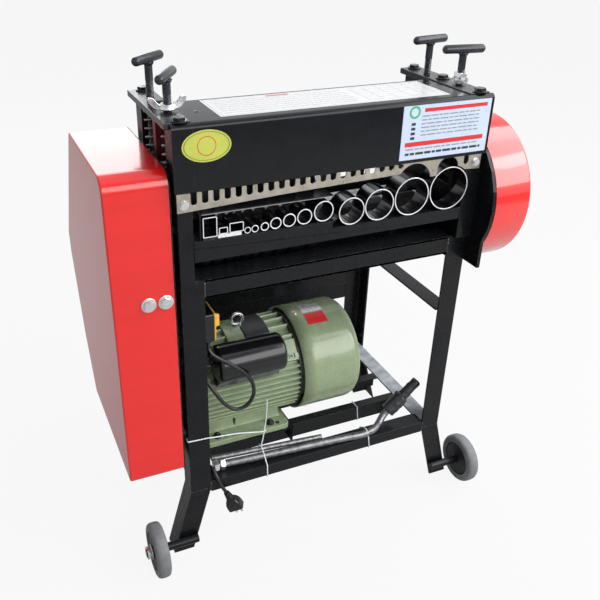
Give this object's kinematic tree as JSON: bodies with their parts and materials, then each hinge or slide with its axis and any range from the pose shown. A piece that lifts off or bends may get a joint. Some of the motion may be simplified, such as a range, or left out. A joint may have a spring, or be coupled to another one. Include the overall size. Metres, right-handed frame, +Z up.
{
  "type": "cable stripping machine",
  "caption": "Motor-driven cable stripping machine: row of feed tubes, blade shaft with T-handle screws and guarded drives, on a wheeled angle-iron stand.",
  "frame": {"origin": "middle of the machine's box, on the floor", "axes": "+Z up, +Y from the feed side to the back, +X towards the gear cover"},
  "size_m": [0.763, 0.4754, 0.9395],
  "materials": {
    "black_paint": "satin",
    "red_paint": "gloss",
    "green_paint": "satin",
    "zinc_plate": "satin",
    "bare_steel": "machined",
    "dark_steel": "oiled black",
    "black_plastic": "gloss",
    "yellow_plastic": "matte",
    "grey_tyre": "matte",
    "belt_rubber": "matte"
  },
  "bodies": {
    "frame": {"front_left_leg": "black_paint", "front_right_leg": "black_paint", "back_left_leg": "black_paint", "back_right_leg": "black_paint", "top_frame": "black_paint", "lower_frame": "black_paint", "left_side_rail": "black_paint", "right_side_rail": "black_paint", "motor_support": "black_paint", "left_side_frame": "black_paint", "right_side_frame": "black_paint", "feed_panel": "black_paint", "top_cover": "black_paint", "flat_tube_rack": "black_paint", "belt_back_plate": "black_paint", "gear_back_plate": "black_paint", "feed_tube_1": "black_paint", "feed_tube_2": "black_paint", "feed_tube_3": "black_paint", "feed_tube_4": "black_paint", "feed_tube_5": "black_paint", "feed_tube_6": "black_paint", "feed_tube_7": "black_paint", "feed_tube_8": "black_paint", "feed_tube_9": "black_paint", "feed_tube_10": "black_paint", "feed_tube_11": "black_paint", "belt_cover": "red_paint", "gear_cover": "red_paint", "motor_body": "green_paint", "motor_fan_cover": "green_paint", "guide_comb": "zinc_plate", "crank_handle": "bare_steel", "back_left_spring": "bare_steel", "front_left_spring": "bare_steel", "back_right_spring": "bare_steel", "front_right_spring": "bare_steel", "left_clamp_bar": "dark_steel", "right_clamp_bar": "dark_steel", "capacitor_cover": "black_plastic", "mains_cord": "black_plastic", "motor_lead": "black_plastic", "mains_plug": "black_plastic", "switch_box": "yellow_plastic", "drive_belt": "belt_rubber"},
    "left_block": {"left_bearing_block": "dark_steel"},
    "right_block": {"right_bearing_block": "dark_steel"},
    "knives": {"knife_shaft": "bare_steel"},
    "back_left_screw": {"back_left_screw": "dark_steel"},
    "front_left_screw": {"front_left_screw": "dark_steel"},
    "back_right_screw": {"back_right_screw": "dark_steel"},
    "front_right_screw": {"front_right_screw": "dark_steel"},
    "feed": {"feed_roller": "bare_steel", "feed_gear": "bare_steel"},
    "jack": {"jack_shaft": "bare_steel"},
    "rotor": {"motor_rotor": "bare_steel"},
    "left_wheel": {"left_wheel": "grey_tyre"},
    "right_wheel": {"right_wheel": "grey_tyre"},
    "switch_knob": {"switch_knob": "black_plastic"},
    "crank_grip": {"crank_grip": "black_plastic"}
  },
  "joints": [
    {"name": "left_knife_lift", "type": "slide", "parent": "frame", "child": "left_block", "axis": [0, 0, 1], "range_m": [-0.0025, 0.002], "deforming": ["front_left_spring", "back_left_spring"]},
    {"name": "right_knife_lift", "type": "slide", "parent": "frame", "child": "right_block", "axis": [0, 0, 1], "range_m": [-0.0025, 0.002], "deforming": ["front_right_spring", "back_right_spring"]},
    {"name": "knife_spin", "type": "hinge", "parent": "left_block", "child": "knives", "pos_m": [-0.2695, -0.09325, 0.7475], "axis": [1, 0, 0], "continuous": true},
    {"name": "back_left_screw_turn", "type": "hinge", "parent": "left_block", "child": "back_left_screw", "pos_m": [-0.2605, -0.02625, 0.9], "axis": [0, 0, 1], "range_deg": [-455, 365]},
    {"name": "front_left_screw_turn", "type": "hinge", "parent": "left_block", "child": "front_left_screw", "pos_m": [-0.2605, -0.12525, 0.9], "axis": [0, 0, 1], "range_deg": [-455, 365]},
    {"name": "back_right_screw_turn", "type": "hinge", "parent": "right_block", "child": "back_right_screw", "pos_m": [0.2605, -0.02625, 0.9], "axis": [0, 0, 1], "range_deg": [-455, 365]},
    {"name": "front_right_screw_turn", "type": "hinge", "parent": "right_block", "child": "front_right_screw", "pos_m": [0.2605, -0.12525, 0.9], "axis": [0, 0, 1], "range_deg": [-455, 365]},
    {"name": "feed_spin", "type": "hinge", "parent": "frame", "child": "feed", "pos_m": [-0.2695, -0.09325, 0.64], "axis": [1, 0, 0], "continuous": true},
    {"name": "jack_spin", "type": "hinge", "parent": "frame", "child": "jack", "pos_m": [-0.2695, -0.0079, 0.645], "axis": [1, 0, 0], "continuous": true},
    {"name": "rotor_spin", "type": "hinge", "parent": "frame", "child": "rotor", "pos_m": [-0.2695, -0.02825, 0.319], "axis": [1, 0, 0], "continuous": true},
    {"name": "left_wheel_spin", "type": "hinge", "parent": "frame", "child": "left_wheel", "pos_m": [-0.342, -0.18475, 0.053], "axis": [1, 0, 0], "continuous": true},
    {"name": "right_wheel_spin", "type": "hinge", "parent": "frame", "child": "right_wheel", "pos_m": [0.356, -0.18475, 0.053], "axis": [1, 0, 0], "continuous": true},
    {"name": "switch_turn", "type": "hinge", "parent": "frame", "child": "switch_knob", "pos_m": [-0.2085, -0.14425, 0.5115], "axis": [1, 0, 0], "range_deg": [-60, 60]},
    {"name": "grip_spin", "type": "hinge", "parent": "frame", "child": "crank_grip", "pos_m": [0.1725, -0.14525, 0.208], "axis": [0.7507, 0, 0.6606], "continuous": true}
  ],
  "couplings": [
    {"joint": "right_knife_lift", "follows": "left_knife_lift", "ratio": 1},
    {"joint": "back_left_screw_turn", "follows": "left_knife_lift", "rad_per_m": 3141.6},
    {"joint": "front_left_screw_turn", "follows": "left_knife_lift", "rad_per_m": 3141.6},
    {"joint": "back_right_screw_turn", "follows": "left_knife_lift", "rad_per_m": 3141.6},
    {"joint": "front_right_screw_turn", "follows": "left_knife_lift", "rad_per_m": 3141.6},
    {"joint": "knife_spin", "follows": "feed_spin", "ratio": -1},
    {"joint": "jack_spin", "follows": "feed_spin", "ratio": -1.5909},
    {"joint": "rotor_spin", "follows": "feed_spin", "ratio": -7.4242}
  ]
}
